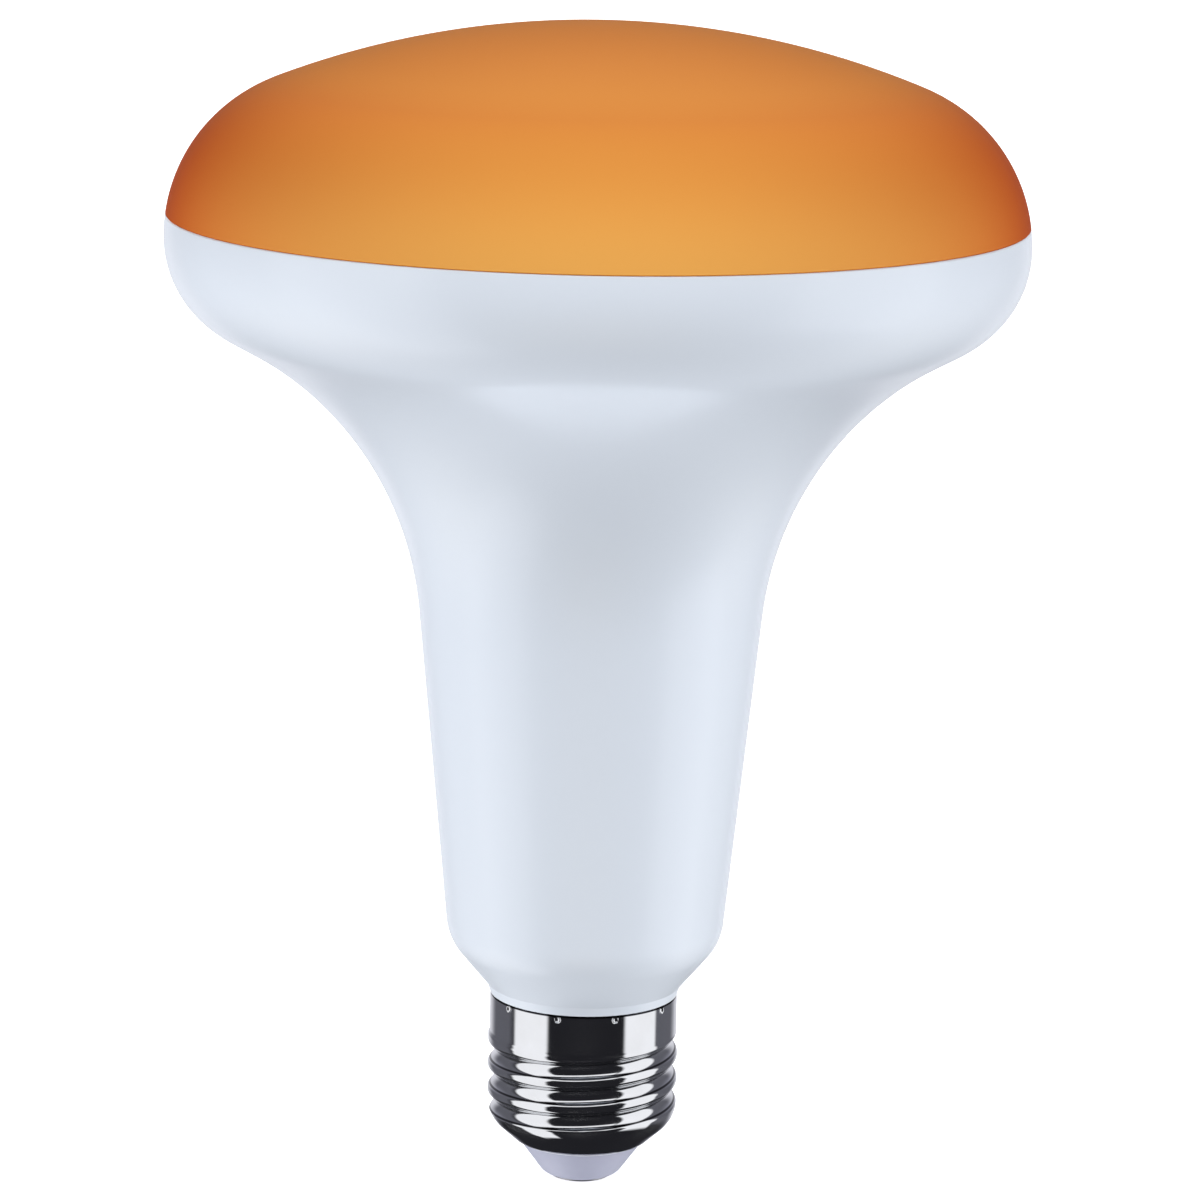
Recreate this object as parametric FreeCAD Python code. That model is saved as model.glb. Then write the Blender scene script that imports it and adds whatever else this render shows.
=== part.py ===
import FreeCAD, Part
import math
import os

from FreeCAD import Vector

# Reflector bulb with a wide domed lens, a flared white housing and an E26 screw cap.
# The axis is Z, pointing up to the lens. The origin is at the middle of the centre contact's lower face.
# The side that faces -Y is the one that a front view shows.

# Lens and rim, mm and degrees
rim_radius = 58.0              # widest radius, just below the seam
crown_height = 25.9            # from the seam up to the middle of the lens
lens_corner_radius = 22.0      # rounding between the crown and the rim
bulge_drop = 3.0               # from the seam down to the widest radius
lens_wall = 2.0
lens_skirt_wall = 1.6          # the part of the lens that reaches down inside the rim
lens_skirt_depth = 4.0
seam_edge = 0.3                # bevel on both sides of the seam

# Housing, mm and degrees
body_height = 99.7             # from the neck's lower edge up to the seam
shoulder_radius = 14.3
flare_angle = 61.0             # slope under the shoulder, from the axis
flare_radius = 47.0            # hollow sweep from that slope into the neck
neck_taper = 5.6               # slope of the neck, from the axis
neck_edge_radius = 18.9        # the neck's radius at its lower edge, before rounding
neck_edge_rounding = 7.7
neck_cone_height = 6.6         # from that edge down to the collar
collar_top_radius = 13.4
collar_foot_radius = 13.0
collar_height = 1.3
rim_wall = 2.2                 # housing wall outside the lens skirt
spigot_rounding = 1.0          # at the foot of the spigot inside the screw shell

# Screw shell of thin rolled sheet, mm and degrees
shell_height = 20.9            # from its foot edge up to the collar
sheet = 0.3
shell_skirt_radius = 12.95     # smooth band under the collar
thread_radius = 13.15          # over the crests
thread_depth = 0.85
thread_pitch = 3.629           # 7 turns to the inch
runout_radius = 18.0           # the wider arc on which each end of the groove runs out
runout_angle = 45.0            # along that arc
thread_foot_gap = 4.91         # from the foot edge up to the groove's lowest full-depth point
thread_head_gap = 5.4          # from the groove's highest full-depth point up to the shell's top
thread_start_angle = 180.0     # where that point lies, from +X towards +Y
crest_spacing = 0.1            # between the cuts of neighbouring turns
crest_trim = 0.02              # leaves a narrow land on the crests
root_radius = 1.35
crest_step = 0.5               # height of the slope from the smooth band out to the crests
crest_band = 5.6               # from the shell's top down to that slope
shell_foot_radius = 9.5        # radius of the foot edge
shell_foot_angle = 47.6        # slope of the foot cone, from the axis
shell_foot_rounding = 4.5
dimple_count = 10
dimple_drop = 1.0              # from the shell's top down to the middle of a dimple
dimple_ball = 0.8              # radius of the punch's tip
dimple_depth = 0.25
dimple_turn = 20.2             # angle of the first dimple from the front, towards +X

# Insulator and centre contact, mm and degrees
insulator_drop = 5.3           # the insulator's height below the shell's foot edge
insulator_lip = 0.4
insulator_cone_radius = 8.7    # at the lip
insulator_cone_angle = 35.9    # from the axis
insulator_rounding = 2.0
insulator_flange_radius = 11.2
insulator_flange_height = 3.4  # above the shell's foot edge
contact_radius = 4.3
contact_proud = 0.3
contact_stem_radius = 1.5

# Clearances, mm
lens_fit = 0.15                # between the lens skirt and the rim wall
lens_end_gap = 0.3             # under the lens skirt
cap_fit = 0.15                 # between the housing's spigot and the shell
insulator_fit = 0.1            # between the insulator and the shell
stem_fit = 0.1                 # between the contact's stem and its hole
cut_overrun = 1.0              # how far cutting shapes run past what they cut

# Heights above the contact face, mm
insulator_bottom = contact_proud
shell_bottom = insulator_bottom + insulator_drop
insulator_top = shell_bottom + insulator_flange_height
collar_bottom = shell_bottom + shell_height
collar_top = collar_bottom + collar_height
neck_edge_z = collar_top + neck_cone_height
seam_z = neck_edge_z + body_height
bulge_z = seam_z - bulge_drop
crown_z = seam_z + crown_height

# Turns of full depth: the thread is as long as the shell leaves room for.
thread_turns = (shell_height - thread_foot_gap - thread_head_gap) / thread_pitch


def polar(radius, degrees):
    """Radius and height offsets of a point at an angle above the outward direction."""
    turn = math.radians(degrees)
    return radius * math.cos(turn), radius * math.sin(turn)


def corner_path(corners):
    """Lines through (radius, height, rounding) corners, with a tangent arc at each rounded one."""
    points = [Vector(r, 0, z) for r, z, rounding in corners]
    edges = []
    start = points[0]
    for before, here, after, corner in zip(points, points[1:], points[2:], corners[1:]):
        rounding = corner[2]
        inward = (before - here).normalize()
        onward = (after - here).normalize()
        half = inward.getAngle(onward) / 2
        if rounding > 0:
            tangent = rounding / math.tan(half)
            middle = (inward + onward).normalize() * (rounding / math.sin(half) - rounding)
            first = here + inward * tangent
            last = here + onward * tangent
            if (first - start).Length > 1e-6:
                edges.append(Part.makeLine(start, first))
            edges.append(Part.Arc(first, here + middle, last).toShape())
            start = last
        else:
            edges.append(Part.makeLine(start, here))
            start = here
    edges.append(Part.makeLine(start, points[-1]))
    return edges


def arc_edge(centre, radius, start_angle, end_angle):
    """Arc in the XZ plane, with angles in degrees above the outward direction."""
    ends = []
    for angle in (start_angle, (start_angle + end_angle) / 2, end_angle):
        out, up = polar(radius, angle)
        ends.append(Vector(centre[0] + out, 0, centre[1] + up))
    return Part.Arc(*ends).toShape()


def closed_section(edges):
    """Face from a chain of edges, closed with a straight line where it is open."""
    first = edges[0].firstVertex(True).Point
    last = edges[-1].lastVertex(True).Point
    if (first - last).Length > 1e-6:
        edges = edges + [Part.makeLine(last, first)]
    return Part.Face(Part.Wire(edges))


def turned(section):
    """Solid of revolution about Z."""
    return section.revolve(Vector(0, 0, 0), Vector(0, 0, 1), 360)


def turned_corners(corners):
    """Solid of revolution from rounded (radius, height, rounding) corners, closed back to the first."""
    edges = corner_path(corners)
    return turned(closed_section(edges))


# The crown is one arc that meets the rim's rounding without a kink.
lens_corner_centre = (rim_radius - lens_corner_radius, bulge_z)
rise = crown_z - bulge_z
run = rim_radius - lens_corner_radius
crown_radius = (rise ** 2 + run ** 2 - lens_corner_radius ** 2) / (2 * (rise - lens_corner_radius))
crown_centre = (0.0, crown_z - crown_radius)
crown_end_angle = math.degrees(math.atan2(bulge_z - crown_centre[1], run))


def corner_angle(height):
    """Angle on the rim's rounding at this height above the widest radius, in degrees."""
    return math.degrees(math.asin(height / lens_corner_radius))


seam_angle = corner_angle(bulge_drop)
seam_radius = lens_corner_centre[0] + polar(lens_corner_radius, seam_angle)[0]
recess_radius = seam_radius - rim_wall
recess_floor = seam_z - lens_skirt_depth - lens_end_gap


def make_lens():
    """Domed lens moulding: a thin crown and rim, and a skirt that drops inside the housing's rim."""
    skirt_outer = recess_radius - lens_fit
    skirt_inner = skirt_outer - lens_skirt_wall
    skirt_end = seam_z - lens_skirt_depth
    inner_corner = lens_corner_radius - lens_wall
    inner_angle = math.degrees(math.acos((skirt_inner - lens_corner_centre[0]) / inner_corner))
    inner_start = polar(inner_corner, inner_angle)[1] + bulge_z
    bevel_angle = corner_angle(bulge_drop + seam_edge)
    bevel_out, bevel_up = polar(lens_corner_radius, bevel_angle)
    bevel_start = Vector(lens_corner_centre[0] + bevel_out, 0, bulge_z + bevel_up)
    bevel_end = Vector(seam_radius - seam_edge, 0, seam_z)
    edges = [
        arc_edge(crown_centre, crown_radius, 90, crown_end_angle),
        arc_edge(lens_corner_centre, lens_corner_radius, crown_end_angle, bevel_angle),
        Part.makeLine(bevel_start, bevel_end),
        Part.makeLine(bevel_end, Vector(skirt_outer, 0, seam_z)),
        Part.makeLine(Vector(skirt_outer, 0, seam_z), Vector(skirt_outer, 0, skirt_end)),
        Part.makeLine(Vector(skirt_outer, 0, skirt_end), Vector(skirt_inner, 0, skirt_end)),
        Part.makeLine(Vector(skirt_inner, 0, skirt_end), Vector(skirt_inner, 0, inner_start)),
        arc_edge(lens_corner_centre, inner_corner, inner_angle, crown_end_angle),
        arc_edge(crown_centre, crown_radius - lens_wall, crown_end_angle, 90),
    ]
    return turned(closed_section(edges))


def line_meeting(point_a, slope_a, point_b, slope_b):
    """Point where two lines meet, each with a point and an angle from the axis."""
    ax, az = math.sin(math.radians(slope_a)), math.cos(math.radians(slope_a))
    bx, bz = math.sin(math.radians(slope_b)), math.cos(math.radians(slope_b))
    dx, dz = point_b[0] - point_a[0], point_b[1] - point_a[1]
    along = (dx * bz - dz * bx) / (ax * bz - az * bx)
    return point_a[0] + ax * along, point_a[1] + az * along


def make_housing():
    """White moulding: rim, shoulder, hollow flare, tapered neck, collar and a spigot for the screw shell."""
    shoulder_corner_z = bulge_z - shoulder_radius * math.tan(math.radians(flare_angle / 2))
    flare_corner = line_meeting(
        (rim_radius, shoulder_corner_z), flare_angle, (neck_edge_radius, neck_edge_z), neck_taper)
    spigot_radius = thread_radius - thread_depth - sheet - cap_fit
    bevel_angle = corner_angle(bulge_drop - seam_edge)
    bevel_out, bevel_up = polar(lens_corner_radius, bevel_angle)
    bevel_start = Vector(seam_radius - seam_edge, 0, seam_z)
    bevel_end = Vector(lens_corner_centre[0] + bevel_out, 0, bulge_z + bevel_up)
    edges = [
        Part.makeLine(Vector(0, 0, recess_floor), Vector(recess_radius, 0, recess_floor)),
        Part.makeLine(Vector(recess_radius, 0, recess_floor), Vector(recess_radius, 0, seam_z)),
        Part.makeLine(Vector(recess_radius, 0, seam_z), bevel_start),
        Part.makeLine(bevel_start, bevel_end),
        arc_edge(lens_corner_centre, lens_corner_radius, bevel_angle, 0),
    ]
    edges += corner_path([
        (rim_radius, bulge_z, 0),
        (rim_radius, shoulder_corner_z, shoulder_radius),
        (flare_corner[0], flare_corner[1], flare_radius),
        (neck_edge_radius, neck_edge_z, neck_edge_rounding),
        (collar_top_radius, collar_top, 0),
        (collar_foot_radius, collar_bottom, 0),
        (spigot_radius, collar_bottom, 0),
        (spigot_radius, insulator_top, spigot_rounding),
        (0, insulator_top, 0),
    ])
    housing = turned(closed_section(edges))
    return cut_all(housing, dimple_balls(dimple_ball + sheet + cap_fit))


def dimple_balls(radius):
    """Ball shapes that share the centres of the punched dimples."""
    centre_radius = shell_skirt_radius + dimple_ball - dimple_depth
    balls = []
    for index in range(dimple_count):
        turn = math.radians(dimple_turn - 90 + index * 360 / dimple_count)
        centre = Vector(
            centre_radius * math.cos(turn),
            centre_radius * math.sin(turn),
            collar_bottom - dimple_drop,
        )
        balls.append(Part.makeSphere(radius, centre))
    return balls


def cut_all(solid, tools):
    """The solid less each of the tools."""
    for tool in tools:
        solid = solid.cut(tool)
    return solid


def shell_body(inset):
    """Turned body of the screw shell before threading, smaller all round by the inset."""
    slope = math.radians(shell_foot_angle)
    foot_radius = shell_foot_radius - inset / math.cos(slope)
    crest = thread_radius - inset
    foot_corner_z = shell_bottom + (crest - foot_radius) / math.tan(slope)
    step_z = collar_bottom - crest_band
    return turned_corners([
        (0, shell_bottom, 0),
        (foot_radius, shell_bottom, 0),
        (crest, foot_corner_z, shell_foot_rounding - inset),
        (crest, step_z - crest_step, 0),
        (shell_skirt_radius - inset, step_z, 0),
        (shell_skirt_radius - inset, collar_bottom, 0),
        (0, collar_bottom, 0),
    ])


def groove_profile(inset):
    """Section of the rolled groove in the XZ plane, with its surface moved towards the axis by the inset."""
    half_width = (thread_pitch - crest_spacing) / 2
    crest_top = thread_radius + crest_trim
    turn = 2 * math.atan((thread_depth + crest_trim) / half_width)
    crest_radius = half_width / math.sin(turn) - root_radius
    root_centre = thread_radius - thread_depth + root_radius
    crest_centre = crest_top - crest_radius
    lean = math.degrees(turn)
    inner = crest_top - inset
    outer = crest_top + cut_overrun
    return Part.Wire([
        arc_edge((crest_centre, -half_width), crest_radius - inset, 0, lean),
        arc_edge((root_centre, 0), root_radius + inset, 180 + lean, 180 - lean),
        arc_edge((crest_centre, half_width), crest_radius - inset, -lean, 0),
        Part.makeLine(Vector(inner, 0, half_width), Vector(outer, 0, half_width)),
        Part.makeLine(Vector(outer, 0, half_width), Vector(outer, 0, -half_width)),
        Part.makeLine(Vector(outer, 0, -half_width), Vector(inner, 0, -half_width)),
    ])


def thread_spine():
    """Path of the groove: a helix, and at each end an arc that swings clear of the shell at the same lead."""
    lead = math.atan(thread_pitch / (2 * math.pi * thread_radius))
    helix = Part.makeHelix(thread_pitch, thread_turns * thread_pitch, thread_radius).Edges[0]
    arc_centre = Vector(thread_radius - runout_radius, 0, 0)
    onward = Vector(0, math.cos(lead), math.sin(lead))
    runouts = []
    for side in (-1, 1):
        points = []
        for share in (0, 0.5, 1):
            out, on = polar(runout_radius, runout_angle * share)
            points.append(arc_centre + Vector(out, 0, 0) + onward * side * on)
        runouts.append(Part.Arc(*points[::side]).toShape())
    runouts[1].rotate(Vector(0, 0, 0), Vector(0, 0, 1), 360 * thread_turns)
    runouts[1].translate(Vector(0, 0, thread_turns * thread_pitch))
    return Part.Wire([runouts[0], helix, runouts[1]])


def thread_groove(inset):
    """Cutter for the rolled thread: the groove's section swept along its path."""
    sweep = Part.BRepOffsetAPI.MakePipeShell(thread_spine())
    sweep.setFrenetMode(True)
    sweep.add(groove_profile(inset))
    sweep.build()
    sweep.makeSolid()
    groove = sweep.shape()
    groove.rotate(Vector(0, 0, 0), Vector(0, 0, 1), thread_start_angle)
    groove.translate(Vector(0, 0, shell_bottom + thread_foot_gap))
    return groove


def make_screw_shell():
    """Screw shell: thin sheet with a rolled right-hand thread, a coned foot and a ring of punched dimples."""
    outside = cut_all(shell_body(0), [thread_groove(0)] + dimple_balls(dimple_ball))
    inside = cut_all(shell_body(sheet), [thread_groove(sheet)] + dimple_balls(dimple_ball + sheet))
    return outside.cut(inside)


def make_insulator():
    """White insulator: a flange inside the shell's foot cone and a blunt cone below it, drilled for the contact."""
    slope = math.radians(shell_foot_angle)
    gap = (sheet + insulator_fit) / math.cos(slope)
    neck_radius = shell_foot_radius - gap
    flange_z = shell_bottom + (insulator_flange_radius - neck_radius) / math.tan(slope)
    lip_z = shell_bottom - insulator_lip
    drop = lip_z - insulator_bottom
    bottom_radius = insulator_cone_radius - drop * math.tan(math.radians(insulator_cone_angle))
    body = turned_corners([
        (0, insulator_bottom, 0),
        (bottom_radius, insulator_bottom, insulator_rounding),
        (insulator_cone_radius, lip_z, 0),
        (neck_radius, lip_z, 0),
        (neck_radius, shell_bottom, 0),
        (insulator_flange_radius, flange_z, 0),
        (insulator_flange_radius, insulator_top, 0),
        (0, insulator_top, 0),
    ])
    hole = Part.makeCylinder(
        contact_stem_radius + stem_fit,
        insulator_top - insulator_bottom + 2 * cut_overrun,
        Vector(0, 0, insulator_bottom - cut_overrun),
    )
    return body.cut(hole)


def make_centre_contact():
    """Centre contact: a thin flat head under the insulator and a stem up through it."""
    return turned_corners([
        (0, 0, 0),
        (contact_radius, 0, contact_proud / 2),
        (contact_radius, insulator_bottom, 0),
        (contact_stem_radius, insulator_bottom, 0),
        (contact_stem_radius, insulator_top, 0),
        (0, insulator_top, 0),
    ])


nodes = {
    "lens": make_lens(),
    "housing": make_housing(),
    "screw_shell": make_screw_shell(),
    "insulator": make_insulator(),
    "centre_contact": make_centre_contact(),
}

os.makedirs("parts", exist_ok=True)
for name, shape in nodes.items():
    if shape.ShapeType == "Compound" and len(shape.Solids) == 1:
        shape = shape.Solids[0]
    shape.exportStep(os.path.join("parts", name + ".step"))
    print(name, shape.isValid(), len(shape.Solids), round(shape.Volume, 1))
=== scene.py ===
import math

import bpy
import numpy as np
from mathutils import Matrix, Vector


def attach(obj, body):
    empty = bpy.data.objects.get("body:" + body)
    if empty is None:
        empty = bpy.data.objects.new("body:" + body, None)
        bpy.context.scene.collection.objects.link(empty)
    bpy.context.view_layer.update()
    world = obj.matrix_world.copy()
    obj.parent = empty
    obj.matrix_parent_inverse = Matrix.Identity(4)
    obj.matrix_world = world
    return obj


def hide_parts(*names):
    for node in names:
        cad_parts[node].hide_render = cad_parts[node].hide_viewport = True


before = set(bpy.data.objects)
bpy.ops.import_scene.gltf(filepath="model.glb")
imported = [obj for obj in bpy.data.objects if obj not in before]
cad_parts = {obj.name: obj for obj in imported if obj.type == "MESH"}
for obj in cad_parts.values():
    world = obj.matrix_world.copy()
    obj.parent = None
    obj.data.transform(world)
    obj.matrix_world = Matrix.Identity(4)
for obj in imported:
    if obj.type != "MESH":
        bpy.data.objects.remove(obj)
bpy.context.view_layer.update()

# Housing: one white plastic moulding that holds the whole lamp together. Its rim takes the lens,
# the shoulder turns under into a hollow flare, and the long neck ends in a collar and a spigot for
# the screw shell. It is polished in the mould, and has the faint ripple and pores of moulded skin.
mm = 0.001                     # sizes are in millimetres and degrees, the meshes in metres
hair = 1e-6                    # points nearer than this are the same
rim_radius = 58.0
seam_z = 134.1                 # heights are above the centre contact's lower face
bulge_z = 131.1                # where the rim is widest
lens_corner_radius = 22.0      # rounding between the crown and the rim
seam_edge = 0.16               # bevel on both sides of the seam
rim_wall = 2.2                 # outside the lens's skirt
recess_depth = 4.3             # of the seat for that skirt
shoulder_radius = 14.3
flare_angle = 61.0             # slope under the shoulder, from the axis
flare_radius = 47.0            # hollow sweep from that slope into the neck
neck_taper = 5.6               # slope of the neck, from the axis
neck_edge = (18.9, 34.4)       # radius and height of the neck's lower edge, before rounding
neck_edge_rounding = 7.7
collar_top = (13.4, 27.8)
collar_foot = (13.0, 26.5)
spigot_radius = 11.85
spigot_foot_z = 9.0
spigot_rounding = 1.0
housing_edge = 0.12            # rounding of its small edges
housing_columns = 320          # of the mesh, round the axis
housing_white = (0.665, 0.718, 0.797, 1.0)
housing_shade = (0.65, 0.703, 0.785, 1.0)
housing_cloud = (26.0, 2.0)    # patterns are given in cells to the metre and detail
housing_ripple = (420.0, 1.5)
housing_pores = (3600.0, 2.0)
housing_haze = (90.0, 3.0)
housing_roughness = 0.19       # the least, to which the patterns below add
housing_haze_roughness = 0.05
pore_roughness = 0.03
ripple_share = 0.8             # of the relief; the rest is pores
housing_relief = (0.02, 0.35)  # reliefs are given as a depth and a strength
plastic_ior = 1.5


def arc_points(centre, radius, start, end, step=2.0):
    """Points (radius, height) on a circle: centre + radius (cos a, sin a), with the angle a going
    evenly from start to end, in degrees above the outward direction. There are at least five."""
    count = max(int(abs(end - start) / step) + 2, 5)
    angle = np.radians(np.linspace(start, end, count))
    return np.array(centre) + radius * np.stack([np.cos(angle), np.sin(angle)], axis=1)


def straight_points(start, end, step):
    """Evenly spaced points on a line: start + t (end - start), with t going from 0 to 1."""
    count = max(int(math.dist(start, end) / step) + 2, 2)
    share = np.linspace(0, 1, count)[:, None]
    return np.asarray(start) * (1 - share) + np.asarray(end) * share


def joined(parts):
    """The parts of a profile one after another, less each point that repeats the one before it."""
    line = np.concatenate(parts)
    kept = np.linalg.norm(np.diff(line, axis=0), axis=1) > hair
    return line[np.concatenate([[True], kept])]


def rounded_line(corners, step=1.6, per_radian=14):
    """Points (radius, height) along straight lines through the corners (radius, height, rounding).
    A rounded corner becomes the arc that touches both lines: its centre lies on the bisector,
    rounding / sin(half the corner's angle) away, and it starts rounding / tan(half) before the
    corner. Points are a step apart, and closer on a tight arc, with so many to the radian."""
    corners = np.array(corners, float)
    spot, rounding = corners[:, :2], corners[1:-1, 2:]
    run = np.diff(spot, axis=0)
    run /= np.linalg.norm(run, axis=1, keepdims=True)
    back, on = -run[:-1], run[1:]
    half = np.arccos(np.clip((back * on).sum(axis=1, keepdims=True), -1, 1)) / 2
    first = spot[1:-1] + back * rounding / np.tan(half)
    middle = (back + on) / np.linalg.norm(back + on, axis=1, keepdims=True)
    centre = spot[1:-1] + middle * rounding / np.sin(half)
    parts = [spot[:1]]
    for index, (radius,) in enumerate(rounding):
        parts.append(straight_points(parts[-1][-1], first[index], step))
        if radius > 0:
            sweep = math.pi - 2 * half[index, 0]
            count = max(int(sweep * radius / step), int(sweep * per_radian)) + 3
            turn = np.linspace(0, sweep, count)[:, None]
            out = (first[index] - centre[index]) / radius
            parts.append(centre[index] + radius * (np.cos(turn) * out + np.sin(turn) * run[index]))
    parts.append(straight_points(parts[-1][-1], spot[-1], step))
    return joined(parts)


def round_axis(radius, height, angle):
    """Grid of points (r cos a, r sin a, z), with each radius r and height z at each angle a."""
    points = np.broadcast_arrays(radius * np.cos(angle), radius * np.sin(angle), height)
    return np.stack(points, axis=2)


def turned(profile, columns):
    """Surface of revolution: a profile's points (radius, height) at even steps round the axis."""
    angle = np.linspace(0, 2 * math.pi, columns, endpoint=False)[None, :]
    return round_axis(profile[:, :1], profile[:, 1:], angle)


def mesh_object(name, points, faces):
    """Object with a mesh of these points, in millimetres, and faces."""
    mesh = bpy.data.meshes.new(name)
    mesh.from_pydata((points * mm).tolist(), [], faces)
    piece = bpy.data.objects.new(name, mesh)
    bpy.context.scene.collection.objects.link(piece)
    return piece


def piece_from_grid(name, grid, sharp_angle=40.0):
    """Closed piece from a grid of points. Each row goes round the axis anticlockwise and closes on
    itself. Where the first and last rows lie on the axis, each becomes one point with a fan of
    triangles; otherwise the last row joins the first, so the section is a loop. Rows run down the
    outside and up the inside, which turns every face outwards. An edge sharper than the sharp
    angle stays crisp."""
    rows, columns = grid.shape[:2]
    poles = np.allclose(grid[[0, -1], :, :2], 0, atol=hair)
    points = grid.reshape(-1, 3)
    number = np.arange(rows * columns).reshape(rows, columns)
    upper, lower = number, np.roll(number, -1, axis=0)
    if poles:
        points = np.concatenate([grid[1:-1].reshape(-1, 3), grid[0, :1], grid[-1, :1]])
        number = number[:-2]
        upper, lower = number[:-1], number[1:]
    corners = [upper, lower, np.roll(lower, -1, axis=1), np.roll(upper, -1, axis=1)]
    faces = np.stack(corners, axis=2).reshape(-1, 4).tolist()
    if poles:
        top, bottom = np.full((2, columns), [[len(points) - 2], [len(points) - 1]])
        first, last = number[0], number[-1]
        faces += np.stack([first, np.roll(first, -1), top], axis=1).tolist()
        faces += np.stack([np.roll(last, -1), last, bottom], axis=1).tolist()
    piece = mesh_object(name, points, faces)
    piece.data.shade_smooth()
    piece.data.set_sharp_from_angle(angle=math.radians(sharp_angle))
    return piece


class Number:
    """A value in a recipe's node tree. Sums and products of it add Math nodes to that tree."""

    def __init__(self, recipe, socket):
        self.recipe = recipe
        self.socket = socket

    def __add__(self, other):
        return self.recipe.worked("ADD", self, other)

    def __sub__(self, other):
        return self.recipe.worked("SUBTRACT", self, other)

    def __rsub__(self, other):
        return self.recipe.worked("SUBTRACT", other, self)

    def __mul__(self, other):
        return self.recipe.worked("MULTIPLY", self, other)

    __radd__ = __add__
    __rmul__ = __mul__


class Recipe:
    """The node tree of one finish, or of the studio round the lamp."""

    def __init__(self, tree):
        self.tree = tree
        self.tree.nodes.clear()

    def node(self, kind, settings, inputs, *outputs):
        """Adds a node: its settings first, then a value or a link for each socket that inputs
        names. Gives back its first output, the one output that is named, or a list of several."""
        made = self.tree.nodes.new(kind)
        for setting, value in settings.items():
            setattr(made, setting, value)
        for socket, value in inputs.items():
            if isinstance(value, Number):
                self.tree.links.new(value.socket, made.inputs[socket])
            else:
                made.inputs[socket].default_value = value
        if not made.outputs:
            return None
        given = [Number(self, made.outputs[name]) for name in outputs or (0,)]
        return given if len(given) > 1 else given[0]

    def worked(self, operation, *values):
        """Math node with this operation on the values."""
        return self.node("ShaderNodeMath", {"operation": operation}, dict(enumerate(values)))

    def worked_vectors(self, operation, *values, output="Value"):
        """Vector Math node with this operation on the values."""
        inputs = dict(enumerate(values))
        return self.node("ShaderNodeVectorMath", {"operation": operation}, inputs, output)

    def place(self):
        """Object coordinates in metres, which are the part's own."""
        return self.node("ShaderNodeTexCoord", {}, {}, "Object")

    def apart(self, vector):
        """The three numbers of a vector."""
        return self.node("ShaderNodeSeparateXYZ", {}, {0: vector}, "X", "Y", "Z")

    def grain(self, per_metre, detail, stretch=(1.0, 1.0, 1.0)):
        """Noise between 0 and 1 with this many cells to the metre, drawn out along an axis where
        that axis's factor is small."""
        spot = self.node("ShaderNodeMapping", {}, {"Vector": self.place(), "Scale": stretch})
        inputs = {"Vector": spot, "Scale": per_metre, "Detail": detail}
        return self.node("ShaderNodeTexNoise", {}, inputs, "Fac")

    def rise(self, value, low, high, start=0.0, end=1.0):
        """Goes smoothly from start to end as the value goes from low to high."""
        return self.node("ShaderNodeMapRange", {"interpolation_type": "SMOOTHSTEP"}, {
            "Value": value, "From Min": low, "From Max": high, "To Min": start, "To Max": end,
        })

    def above(self, value, line, soft):
        """0 below the line and 1 above it, fading over the soft width on each side of it."""
        return self.rise(value, line - soft, line + soft)

    def band(self, value, low, high, soft):
        """1 between low and high and 0 outside, with edges that fade over the soft width."""
        return self.above(value, low, soft) * (1 - self.above(value, high, soft))

    def blend(self, share, first, second):
        """Colour that goes from the first to the second as the share goes from 0 to 1."""
        inputs = {0: share, 6: first, 7: second}
        return self.node("ShaderNodeMix", {"data_type": "RGBA"}, inputs, 2)

    def relief(self, height, depth, strength):
        """Bump normal of a height between 0 and 1 that stands for this depth."""
        inputs = {"Height": height, "Distance": depth * mm, "Strength": strength}
        return self.node("ShaderNodeBump", {}, inputs)

    def skin(self, inputs):
        """Principled surface with these sockets, joined to the output."""
        shader = self.node("ShaderNodeBsdfPrincipled", {}, inputs)
        self.node("ShaderNodeOutputMaterial", {}, {"Surface": shader})


def finish(piece, name):
    """Gives the piece a new material, and hands back that material's empty recipe."""
    material = bpy.data.materials.new(name)
    material.use_nodes = True
    piece.data.materials.append(material)
    return Recipe(material.node_tree)


shoulder_corner_z = bulge_z - shoulder_radius * math.tan(math.radians(flare_angle / 2))
flare_slope = 1 / math.tan(math.radians(flare_angle))
neck_slope = 1 / math.tan(math.radians(neck_taper))
neck_line_z = neck_edge[1] - neck_slope * neck_edge[0]
flare_line_z = shoulder_corner_z - flare_slope * rim_radius
flare_corner_r = (flare_line_z - neck_line_z) / (neck_slope - flare_slope)
flare_corner_z = neck_edge[1] + neck_slope * (flare_corner_r - neck_edge[0])
lens_corner = (rim_radius - lens_corner_radius, bulge_z)
seam_angle = math.degrees(math.asin((seam_z - bulge_z) / lens_corner_radius))
seam_radius = lens_corner[0] + lens_corner_radius * math.cos(math.radians(seam_angle))
recess_radius = seam_radius - rim_wall
recess_floor = seam_z - recess_depth
bevel_turn = math.degrees(seam_edge / lens_corner_radius)
rim_arc = arc_points(lens_corner, lens_corner_radius, seam_angle - bevel_turn, 0)
housing_profile = joined([
    rounded_line([
        (0, recess_floor, 0),
        (recess_radius, recess_floor, housing_edge),
        (recess_radius, seam_z, housing_edge),
        (seam_radius - seam_edge, seam_z, housing_edge),
        (*rim_arc[0], 0),
    ]),
    rim_arc,
    rounded_line([
        (rim_radius, bulge_z, 0),
        (rim_radius, shoulder_corner_z, shoulder_radius),
        (flare_corner_r, flare_corner_z, flare_radius),
        (*neck_edge, neck_edge_rounding),
        (*collar_top, housing_edge),
        (*collar_foot, housing_edge),
        (spigot_radius, collar_foot[1], housing_edge),
        (spigot_radius, spigot_foot_z, spigot_rounding),
        (0, spigot_foot_z, 0),
    ]),
])
housing = piece_from_grid("white_housing", turned(housing_profile, housing_columns))
recipe = finish(housing, "white_moulding")
cloud = recipe.grain(*housing_cloud)
ripple = recipe.grain(*housing_ripple)
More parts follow.
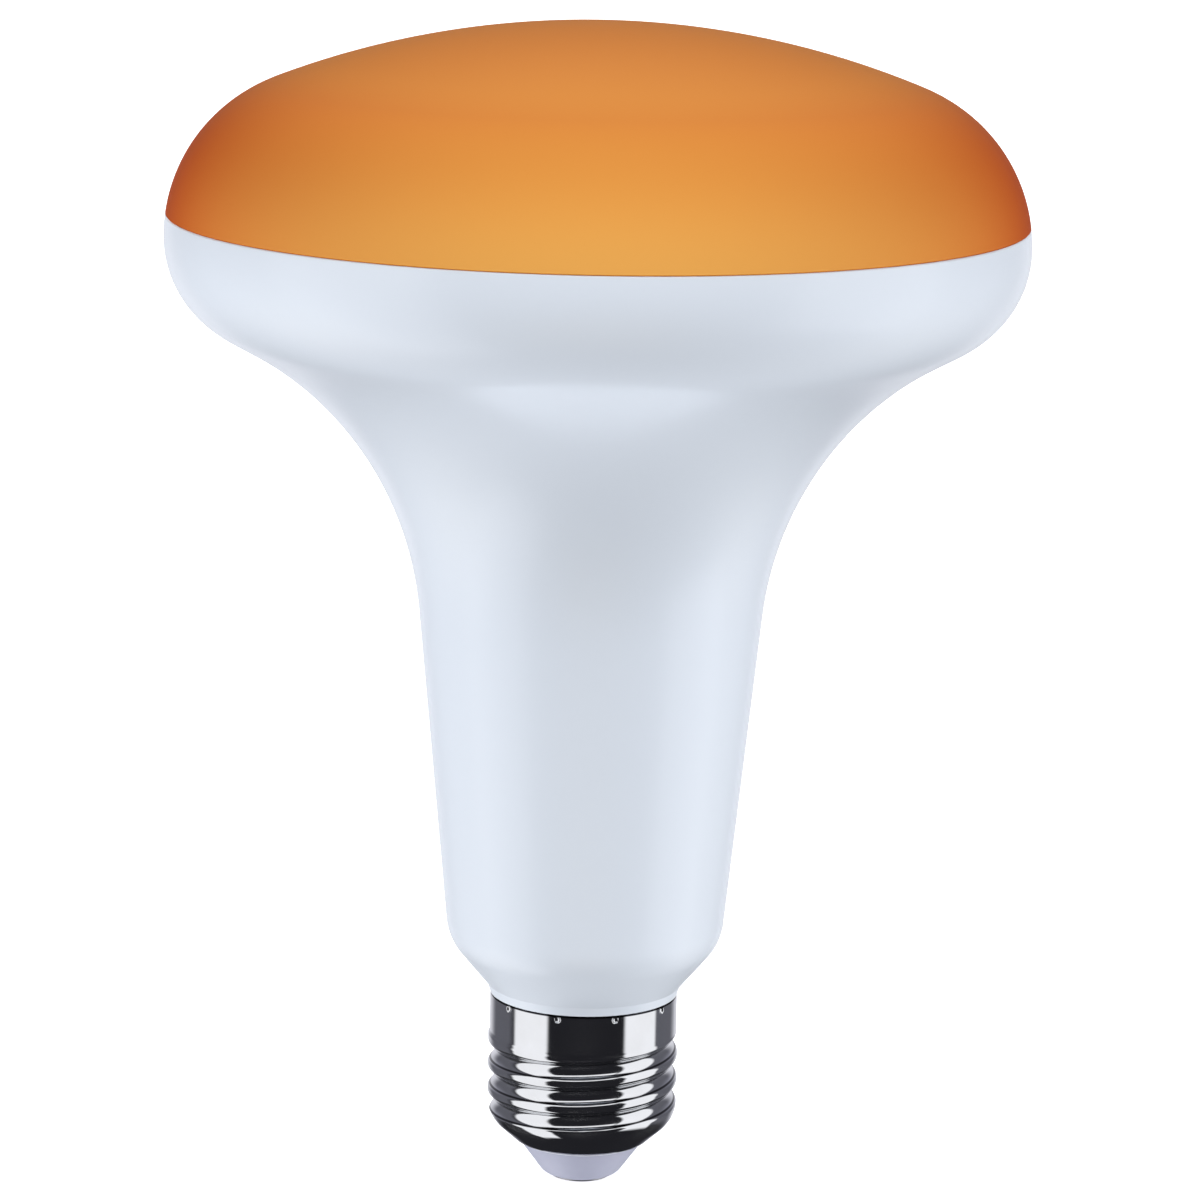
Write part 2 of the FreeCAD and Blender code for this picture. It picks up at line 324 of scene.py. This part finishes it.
pores = recipe.grain(*housing_pores)
haze = recipe.grain(*housing_haze)
uneven = ripple * ripple_share + pores * (1 - ripple_share)
recipe.skin({
    "Base Color": recipe.blend(cloud, housing_white, housing_shade),
    "Roughness": housing_roughness + housing_haze_roughness * haze + pore_roughness * pores,
    "IOR": plastic_ior,
    "Normal": recipe.relief(uneven, *housing_relief),
})
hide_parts("housing")
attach(housing, "root")

# Lens: a thin domed moulding in milky amber plastic that scatters the light of the board under it.
# Its skirt is pressed into the housing's rim. It is satin outside, under a clear amber skin that
# deepens the colour. The skin is thinnest over the crown and full towards the rim: painted shade
# that deepens the lens's sides. The body is paler near the seam as painted glow.
crown_z = 160.0
lens_wall = 2.0
skirt_wall = 1.6
skirt_depth = 4.0
skirt_edge = 0.05              # rounding of its upper outer edge
lens_fit = 0.15                # between the skirt and the rim's wall
crown_step = 0.6               # degrees between the rows over the crown
lens_columns = 320
amber_body = (0.91, 0.65, 0.146, 1.0)
amber_body_thick = (0.89, 0.63, 0.14, 1.0)
amber_painted_glow = (0.935, 0.74, 0.185, 1.0)
# Painted glow: the amber body is paler near the seam.
painted_glow_height = (140.5, 6.5)     # up to which the body is paler, and how softly that ends
amber_skin = (0.76, 0.445, 0.40, 1.0)
# The skin's weight grows from the crown to the rim: painted shade on the lens's sides.
thin_skin_radius = 36.0        # inside which the skin is thinnest
full_skin_radius = 58.0        # outside which it is thickest
crown_skin = 0.8
side_skin = 0.96
skin_roughness = 0.45
skin_ior = 1.03
lens_cloud = (34.0, 3.0)
lens_satin = (2600.0, 3.0)
lens_haze = (120.0, 2.0)
lens_roughness = 0.42
lens_haze_roughness = 0.06
satin_roughness = 0.05
lens_relief = (0.02, 0.25)

crown_rise = crown_z - bulge_z
crown_span = crown_rise ** 2 + lens_corner[0] ** 2 - lens_corner_radius ** 2
crown_radius = crown_span / (2 * (crown_rise - lens_corner_radius))
crown_centre = (0, crown_z - crown_radius)
crown_angle = math.degrees(math.atan2(bulge_z - crown_centre[1], lens_corner[0]))
skirt_outer = recess_radius - lens_fit
skirt_inner = skirt_outer - skirt_wall
skirt_end = seam_z - skirt_depth
inner_corner = lens_corner_radius - lens_wall
inner_angle = math.degrees(math.acos((skirt_inner - lens_corner[0]) / inner_corner))
inner_start = bulge_z + inner_corner * math.sin(math.radians(inner_angle))
lens_arc = arc_points(lens_corner, lens_corner_radius, crown_angle, seam_angle + bevel_turn)
lens_profile = joined([
    arc_points(crown_centre, crown_radius, 90, crown_angle, crown_step),
    lens_arc,
    rounded_line([
        (*lens_arc[-1], 0),
        (seam_radius - seam_edge, seam_z, housing_edge),
        (skirt_outer, seam_z, skirt_edge),
        (skirt_outer, skirt_end, housing_edge),
        (skirt_inner, skirt_end, housing_edge),
        (skirt_inner, inner_start, 0),
    ]),
    arc_points(lens_corner, inner_corner, inner_angle, crown_angle),
    arc_points(crown_centre, crown_radius - lens_wall, crown_angle, 90, crown_step),
])
lens = piece_from_grid("amber_lens", turned(lens_profile, lens_columns))
recipe = finish(lens, "amber_moulding")
cloud = recipe.grain(*lens_cloud)
satin = recipe.grain(*lens_satin)
haze = recipe.grain(*lens_haze)
place = recipe.place()
flat = recipe.worked_vectors("MULTIPLY", place, (1.0, 1.0, 0.0), output="Vector")
reach = recipe.worked_vectors("LENGTH", flat)
# Coat weight rising with the distance from the axis: painted shade towards the lens's rim.
skin_limits = (thin_skin_radius * mm, full_skin_radius * mm, crown_skin, side_skin)
_, _, level = recipe.apart(place)
# Painted glow: below this height, near the seam, the body turns paler.
in_painted_glow = 1 - recipe.above(level, painted_glow_height[0] * mm, painted_glow_height[1] * mm)
body = recipe.blend(cloud, amber_body, amber_body_thick)
recipe.skin({
    "Base Color": recipe.blend(in_painted_glow, body, amber_painted_glow),
    "Roughness": lens_roughness + lens_haze_roughness * haze + satin_roughness * satin,
    "IOR": plastic_ior,
    "Specular IOR Level": 0.0,
    "Coat Weight": recipe.rise(reach, *skin_limits),
    "Coat IOR": skin_ior,
    "Coat Roughness": skin_roughness,
    "Coat Tint": amber_skin,
    "Normal": recipe.relief(satin, *lens_relief),
})
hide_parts("lens")
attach(lens, "root")

# Screw shell: nickel-plated sheet, drawn to a cup, with the right-hand thread rolled into it from
# both sides, so that it shows inside as well. It is pushed over the housing's spigot and held by
# ten punched dimples. Its top edge has a fine dark line of painted shadow, for the gap under the
# collar, and the upward flanks of the thread have a fine dark line of painted reflection.
shell_foot_z = 5.6
shell_top_z = 26.5
sheet = 0.3
band_radius = 12.95            # smooth band under the collar
thread_radius = 13.15          # over the crests
thread_depth = 0.85
thread_pitch = 3.629
thread_turns = 2.918           # of full depth
thread_start_z = shell_foot_z + 4.91
thread_start_angle = 180.0     # where the full depth starts, from +X towards +Y
runout_radius = 18.0           # the wider arc on which each end of the groove runs out
runout_angle = 44.0
crest_spacing = 0.1            # between neighbouring turns of the groove
crest_trim = 0.02              # leaves a narrow land on the crests
root_radius = 1.35
step_z = shell_top_z - 5.6     # slope from the smooth band out to the crests
step_height = 0.5
step_rounding = 0.4
foot_radius = 9.5
foot_angle = 47.6              # slope of the foot cone, from the axis
foot_rounding = 4.5
profile_step = 0.2
dimple_count = 10
dimple_spacing = 360 / dimple_count
first_dimple = 20.2 - 90       # angle from +X towards +Y, so 20.2 from the front
dimple_z = shell_top_z - 0.65
dimple_ball = 0.55             # radius of the punch's tip
dimple_depth = 0.3
dimple_half_angle = 3.4        # half the part of the mesh that has close columns
dimple_columns = 20
plain_columns = 22             # between two of those parts
dimple_rows_foot = (dimple_z - 0.7, dimple_z - 1.1)    # of the close rows, outside and inside
thread_rows = (8.8, step_z + 0.3)                      # foot and top of those over the thread
shell_sharp_angle = 60.0
nickel = (0.70, 0.715, 0.735, 1.0)
nickel_worn = (0.62, 0.625, 0.635, 1.0)
nickel_smudge = (300.0, 3.0)
nickel_drawing = (700.0, 2.0, (1.0, 1.0, 9.0))         # with a factor for each axis
nickel_roughness = 0.03
smudge_roughness = 0.06
drawing_roughness = 0.02
nickel_relief = (0.004, 0.3)
# Painted shadow along the shell's top edge, for the gap under the collar.
painted_edge_shadow = (0.02, 0.02, 0.025, 1.0)
edge_shade_height = 0.3
edge_softness = 0.05
# Painted dark reflection: a thin line on the thread's upward flanks.
painted_flank_shade = (0.06, 0.06, 0.065, 1.0)
flank_drop = 1.07              # of the dark line below the groove's middle
flank_line = 0.028             # half its width, as a share of the pitch
flank_softness = 0.015
flank_heights = (9.2, 20.2, 0.4)                       # from, to and softness


def shell_radius(height, inset):
    """Radius of the shell's body at each height before threading: foot cone, rounding, crests,
    slope and smooth band, moved towards the axis by the inset."""
    slope = math.radians(foot_angle)
    foot = foot_radius - inset / math.cos(slope)
    crest = thread_radius - inset
    line = rounded_line([
        (foot, shell_foot_z, 0),
        (crest, shell_foot_z + (crest - foot) / math.tan(slope), foot_rounding - inset),
        (crest, step_z - step_height, step_rounding),
        (band_radius - inset, step_z, step_rounding),
        (band_radius - inset, shell_top_z, 0),
    ], profile_step)
    return np.interp(height, line[:, 1], line[:, 0])


def groove_radius(offset, inset):
    """Radius of the rolled groove at a distance below or above its middle: a root arc that passes
    without a kink into crest arcs, whose tops lie half a pitch away."""
    half = (thread_pitch - crest_spacing) / 2
    turn = 2 * math.atan((thread_depth + crest_trim) / half)
    crest = half / math.sin(turn) - root_radius
    crest_centre = thread_radius + crest_trim - crest
    root_centre = thread_radius - thread_depth + root_radius
    away = np.abs(offset)
    root_arc = root_centre - np.sqrt(np.clip((root_radius + inset) ** 2 - away ** 2, 0, None))
    crest_arc = np.sqrt(np.clip((crest - inset) ** 2 - (away - half) ** 2, 0, None))
    in_root = away < (root_radius + inset) * math.sin(turn)
    return np.where(away > half, np.inf, np.where(in_root, root_arc, crest_centre + crest_arc))


def threaded_radius(height, angle, inset):
    """Shell radius on a grid of heights and angles, in degrees: the least of the body and of every
    turn of the groove. A turn's middle climbs one pitch in 360 degrees. Past each end the groove
    swings outwards on a wider arc, so its radius grows by the distance between that arc and the
    thread's own circle."""
    turns = np.arange(-1, int(thread_turns) + 2)[:, None, None]
    along = (angle - thread_start_angle) % 360 + 360 * turns
    past = np.maximum(along - 360 * thread_turns, 0) - np.maximum(-along, 0)
    swing = np.radians(np.clip(np.abs(past), 0, 90))
    offset = runout_radius - thread_radius
    aside = offset * np.sin(swing)
    reach = np.sqrt(runout_radius ** 2 - aside ** 2) - offset * np.cos(swing)
    outward = np.where(np.abs(past) > runout_angle, np.inf, reach - thread_radius)
    forward = runout_radius * np.sin(swing - np.arcsin(aside / runout_radius))
    lead = math.atan(thread_pitch / (2 * math.pi * thread_radius))
    climb = np.clip(along, 0, 360 * thread_turns) * thread_pitch / 360
    middle = thread_start_z + climb + np.sign(past) * forward * math.sin(lead)
    cut = groove_radius(height - middle, inset) + outward
    return np.minimum(shell_radius(height, inset), cut.min(axis=0))


def dimpled(radius, height, angle, inset):
    """The shell's radius less the punched dimples: each is the part of a ball whose centre lies
    outside the band, where the ball reaches in further than the sheet."""
    from_gap = (angle - first_dimple + dimple_spacing / 2) % dimple_spacing
    aside = np.radians(from_gap - dimple_spacing / 2)
    centre = band_radius + dimple_ball - dimple_depth
    room = (dimple_ball + inset) ** 2 - (centre * np.sin(aside)) ** 2 - (height - dimple_z) ** 2
    ball = centre * np.cos(aside) - np.sqrt(np.clip(room, 0, None))
    return np.minimum(radius, np.where(room > 0, ball, np.inf))


def shell_side(height, angle, inset):
    """Grid for one side of the sheet: the threaded and dimpled radius at each height and angle."""
    radius = dimpled(threaded_radius(height, angle, inset), height, angle, inset)
    return round_axis(radius, height, np.radians(angle))


def spaced(*stops):
    """Places of mesh rows or columns. Each stop is a place and the number of the row or column
    there, counted from 0, and those between two stops are evenly spaced."""
    places, numbers = np.transpose(stops)
    return np.interp(np.arange(numbers[-1] + 1), numbers, places)


sector = spaced(
    (-dimple_half_angle, 0),
    (dimple_half_angle, dimple_columns),
    (dimple_spacing - dimple_half_angle, dimple_columns + plain_columns),
)[:-1]
sectors = sector + dimple_spacing * np.arange(dimple_count)[:, None]
shell_angles = first_dimple + sectors.reshape(1, -1)
outer_heights = spaced(
    (shell_top_z, 0),
    (dimple_rows_foot[0], 20),
    (thread_rows[1], 25),
    (thread_rows[0], 125),
    (shell_foot_z, 134),
)[:, None]
inner_heights = spaced(
    (shell_foot_z, 0),
    (thread_rows[0], 8),
    (thread_rows[1], 58),
    (dimple_rows_foot[1], 62),
    (shell_top_z, 73),
)[:, None]
shell_grid = np.concatenate([
    shell_side(outer_heights, shell_angles, 0.0),
    shell_side(inner_heights, shell_angles, sheet),
])
screw_shell = piece_from_grid("nickel_screw_shell", shell_grid, shell_sharp_angle)
recipe = finish(screw_shell, "nickel_plate")
smudge = recipe.grain(*nickel_smudge)
drawing = recipe.grain(*nickel_drawing)
across, deep, level = recipe.apart(recipe.place())
# Painted shadow: the top of the shell is darker, as if in the gap under the collar.
at_painted_shadow = recipe.above(level, (shell_top_z - edge_shade_height) * mm, edge_softness * mm)
# The painted dark reflection on the flanks climbs with the thread: it lies where the phase
# is a half.
turn = recipe.worked("ARCTAN2", deep, across) * (0.5 / math.pi)
line_start = (thread_start_z - flank_drop) / thread_pitch - thread_start_angle / 360
turns_above = level * (1 / (thread_pitch * mm)) - turn - line_start
phase = recipe.worked("FRACT", turns_above + 0.5)
on_flank = recipe.band(phase, 0.5 - flank_line, 0.5 + flank_line, flank_softness)
on_flank = on_flank * recipe.band(level, *(height * mm for height in flank_heights))
plate = recipe.blend(on_flank, recipe.blend(smudge, nickel, nickel_worn), painted_flank_shade)
recipe.skin({
    "Base Color": recipe.blend(at_painted_shadow, plate, painted_edge_shadow),
    "Metallic": 1.0,
    "Roughness": nickel_roughness + smudge_roughness * smudge + drawing_roughness * drawing,
    "Normal": recipe.relief(drawing, *nickel_relief),
})
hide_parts("screw_shell")
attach(screw_shell, "root")

# Insulator: a pale moulding that sits in the shell's foot cone on its flange and keeps the centre
# contact apart from the shell. Only its narrow lip and the blunt cone under the shell's edge show.
insulator_bottom = 0.3
insulator_lip_z = shell_foot_z - 0.4
insulator_cone_radius = 8.7    # at the lip
insulator_cone_angle = 35.9    # from the axis
insulator_rounding = 2.0
insulator_flange_radius = 11.2
insulator_top_z = 9.0
insulator_fit = 0.1            # between the insulator and the shell
flange_edge = 0.15
lip_edge = 0.05
lip_slope = (0.1, 0.03)        # height of the lip's slope, and the rounding above it
stem_hole_radius = 1.6
insulator_step = 0.5
insulator_columns = 160
insulator_pale = (0.47, 0.485, 0.62, 1.0)
insulator_grey = (0.42, 0.435, 0.57, 1.0)
lip_pale = (0.80, 0.82, 0.90, 1.0)
lip_softness = 0.04
insulator_mottle = (500.0, 3.0)
insulator_pores = (5000.0, 2.0)
insulator_roughness = 0.38
mottle_roughness = 0.1
insulator_relief = (0.01, 0.4)

cone_drop = insulator_lip_z - insulator_bottom
cone_inset = cone_drop * math.tan(math.radians(insulator_cone_angle))
insulator_neck = foot_radius - (sheet + insulator_fit) / math.cos(math.radians(foot_angle))
flange_rise = (insulator_flange_radius - insulator_neck) / math.tan(math.radians(foot_angle))
insulator_profile = rounded_line([
    (stem_hole_radius, insulator_top_z, 0),
    (insulator_flange_radius, insulator_top_z, flange_edge),
    (insulator_flange_radius, shell_foot_z + flange_rise, flange_edge),
    (insulator_neck, shell_foot_z, lip_edge),
    (insulator_neck, insulator_lip_z + lip_slope[0], lip_slope[1]),
    (insulator_cone_radius, insulator_lip_z, lip_edge),
    (insulator_cone_radius - cone_inset, insulator_bottom, insulator_rounding),
    (stem_hole_radius, insulator_bottom, 0),
], insulator_step)
insulator = piece_from_grid("pale_insulator", turned(insulator_profile, insulator_columns))
recipe = finish(insulator, "pale_moulding")
mottle = recipe.grain(*insulator_mottle)
_, _, level = recipe.apart(recipe.place())
at_lip = recipe.above(level, insulator_lip_z * mm, lip_softness * mm)
body = recipe.blend(mottle, insulator_pale, insulator_grey)
recipe.skin({
    "Base Color": recipe.blend(at_lip, body, lip_pale),
    "Roughness": insulator_roughness + mottle_roughness * mottle,
    "IOR": plastic_ior,
    "Normal": recipe.relief(recipe.grain(*insulator_pores), *insulator_relief),
})
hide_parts("insulator")
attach(insulator, "root")

# Centre contact: a thin plated disc pressed against the insulator's underside by the stem that
# goes up through it. It is dull from its plating, and lightly scored by lampholder springs.
contact_radius = 4.3
contact_edge = 0.15
contact_back_edge = 0.03
stem_radius = 1.5
stem_edge = 0.1
stem_root = 0.05
contact_step = 0.4
contact_columns = 96
contact_metal = (0.52, 0.52, 0.55, 1.0)
contact_dull = (0.38, 0.37, 0.39, 1.0)
contact_tarnish = (900.0, 4.0)
contact_scoring = (2500.0, 2.0, (1.0, 0.06, 1.0))      # with a factor for each axis
contact_roughness = 0.25
tarnish_roughness = 0.2
scoring_roughness = 0.1
contact_relief = (0.02, 0.4)

contact_profile = rounded_line([
    (0, insulator_top_z, 0),
    (stem_radius, insulator_top_z, stem_edge),
    (stem_radius, insulator_bottom, stem_root),
    (contact_radius, insulator_bottom, contact_back_edge),
    (contact_radius, 0, contact_edge),
    (0, 0, 0),
], contact_step)
contact = piece_from_grid("centre_contact_disc", turned(contact_profile, contact_columns))
recipe = finish(contact, "dull_plate")
tarnish = recipe.grain(*contact_tarnish)
scoring = recipe.grain(*contact_scoring)
recipe.skin({
    "Base Color": recipe.blend(tarnish, contact_metal, contact_dull),
    "Metallic": 1.0,
    "Roughness": contact_roughness + tarnish_roughness * tarnish + scoring_roughness * scoring,
    "Normal": recipe.relief(scoring, *contact_relief),
})
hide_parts("centre_contact")
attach(contact, "root")

# Floor: a wide pale sheet under the lamp. The camera sees it as white paper that keeps the lamp's
# shadow, because part of what it shows is its own white. It throws no light on the lamp, and the
# studio's low lights pass through it.
floor_half_width = 6000.0
floor_glow = 0.62
floor_white = (0.8, 0.8, 0.8, 1.0)
floor_fleck = (0.79, 0.79, 0.79, 1.0)
floor_grain = (400.0, 2.0)
pure_white = (1.0, 1.0, 1.0, 1.0)

floor_corners = np.array([(-1, -1, 0), (1, -1, 0), (1, 1, 0), (-1, 1, 0)])
floor = mesh_object("paper_floor", floor_corners * floor_half_width, [(0, 1, 2, 3)])
recipe = finish(floor, "white_paper")
paper = recipe.blend(recipe.grain(*floor_grain), floor_white, floor_fleck)
matt = recipe.node("ShaderNodeBsdfDiffuse", {}, {"Color": paper})
seen = recipe.node("ShaderNodeLightPath", {}, {}, "Is Camera Ray")
glow = recipe.node("ShaderNodeEmission", {}, {"Color": pure_white, "Strength": seen * floor_glow})
both = recipe.node("ShaderNodeAddShader", {}, {0: matt, 1: glow})
recipe.node("ShaderNodeOutputMaterial", {}, {"Surface": both})
floor.visible_glossy = False
floor.visible_diffuse = False
floor.visible_shadow = False

# Studio: the camera sees white paper all round. Gloss and metal show two tall soft boxes left and
# right of the lamp, a bar of light between their tops, a strip of the paper straight behind it,
# and a dim room. Six broad lights make the light even: two high, three low and one high behind.
box_light = (1.25, 1.25, 1.28, 1.0)
left_box = (-93.0, -44.0, 3.0)     # from, to and softness, with 0 at the front and + to the right
left_height = (-66.0, 55.0, 4.0)   # above the horizon
right_box = (53.0, 101.0, 3.0)
right_height = (-38.0, 55.0, 4.0)
bar_end = (50.0, 3.0)              # the same to the left and right
bar_height = (41.0, 56.0, 3.0)
back_paper = (0.76, 0.76, 0.82, 1.0)
paper_edge = (148.0, 13.0)
paper_height = (-26.0, 30.0, 5.0)
dark_room = (0.02, 0.02, 0.024, 1.0)
side_room = (0.15, 0.15, 0.175, 1.0)
side_edge = (98.0, 8.0)            # the room is dark in front of it
side_height = (-32.0, 72.0, 5.0)
upper_room = (0.40, 0.40, 0.48, 1.0)
upper_edge = (135.0, 20.0)
upper_foot = (8.0, 14.0)
broad_lights = (                   # azimuth, elevation and strength
    (-65.0, 37.0, 6.9),
    (59.0, 33.0, 7.6),
    (-1.0, -41.0, 4.75),
    (-112.0, -43.0, 7.7),
    (122.0, -36.0, 6.2),
    (179.0, 40.0, 5.2),
)
light_narrowness = 16.0            # the power of the cosine by which a broad light fades

world = bpy.data.worlds.new("studio")
world.use_nodes = True
bpy.context.scene.world = world
recipe = Recipe(world.node_tree)
heading = recipe.node("ShaderNodeTexCoord", {}, {}, "Generated")
east, north, up = recipe.apart(heading)
azimuth = recipe.worked("ARCTAN2", east, 0 - north) * math.degrees(1)
elevation = recipe.worked("ARCSINE", up) * math.degrees(1)
aside = recipe.worked("ABSOLUTE", azimuth)
left_light = recipe.band(azimuth, *left_box) * recipe.band(elevation, *left_height)
right_light = recipe.band(azimuth, *right_box) * recipe.band(elevation, *right_height)
bar_light = (1 - recipe.above(aside, *bar_end)) * recipe.band(elevation, *bar_height)
strip = recipe.above(aside, *paper_edge) * recipe.band(elevation, *paper_height)
high_behind = recipe.above(elevation, *upper_foot) * recipe.above(aside, *upper_edge)
walls = recipe.above(aside, *side_edge) * recipe.band(elevation, *side_height)
room = recipe.blend(walls, dark_room, recipe.blend(high_behind, side_room, upper_room))
lights = left_light + right_light + bar_light
lit = recipe.blend(lights, recipe.blend(strip, room, back_paper), box_light)
even = 0.0
for turn, height, strength in broad_lights:
    turn, height = math.radians(turn), math.radians(height)
    out = math.cos(height)
    aim = (math.sin(turn) * out, -math.cos(turn) * out, math.sin(height))
    facing = recipe.worked("MAXIMUM", recipe.worked_vectors("DOT_PRODUCT", heading, aim), 0.0)
    even = even + strength * recipe.worked("POWER", facing, light_narrowness)
rays = ("Is Camera Ray", "Is Glossy Ray", "Is Transmission Ray")
camera_ray, glossy_ray, clear_ray = recipe.node("ShaderNodeLightPath", {}, {}, *rays)
reflected, diffuse, white = (
    recipe.node("ShaderNodeBackground", {}, {"Color": colour, "Strength": strength})
    for colour, strength in ((lit, 1.0), (pure_white, even), (pure_white, 1.0))
)
shown = recipe.node("ShaderNodeMixShader", {}, {0: glossy_ray, 1: diffuse, 2: reflected})
shown = recipe.node("ShaderNodeMixShader", {}, {0: camera_ray + clear_ray, 1: shown, 2: white})
recipe.node("ShaderNodeOutputWorld", {}, {"Surface": shown})

# Camera: a long lens a little above the lamp, looking slightly down on the seam and turned by one
# degree, as the photograph was taken.
camera_place = (0.00121, -0.62, 0.21189)
camera_down = math.radians(11.859)
camera_roll = math.radians(1.121)
camera_lens = 139.55
camera_film = 36.0
camera_reach = 50.0

view = bpy.data.cameras.new("camera")
view.lens = camera_lens
view.sensor_width = camera_film
view.clip_end = camera_reach
camera = bpy.data.objects.new("camera", view)
bpy.context.scene.collection.objects.link(camera)
ahead = Vector((0, math.cos(camera_down), -math.sin(camera_down)))
level_up = Vector((0, math.sin(camera_down), math.cos(camera_down)))
level_right = Vector((1, 0, 0))
right = math.cos(camera_roll) * level_right + math.sin(camera_roll) * level_up
upright = math.cos(camera_roll) * level_up - math.sin(camera_roll) * level_right
pose = Matrix((right, upright, -ahead)).transposed().to_4x4()
pose.translation = camera_place
camera.matrix_world = pose
bpy.context.scene.camera = camera
bpy.context.scene.view_settings.view_transform = "Standard"
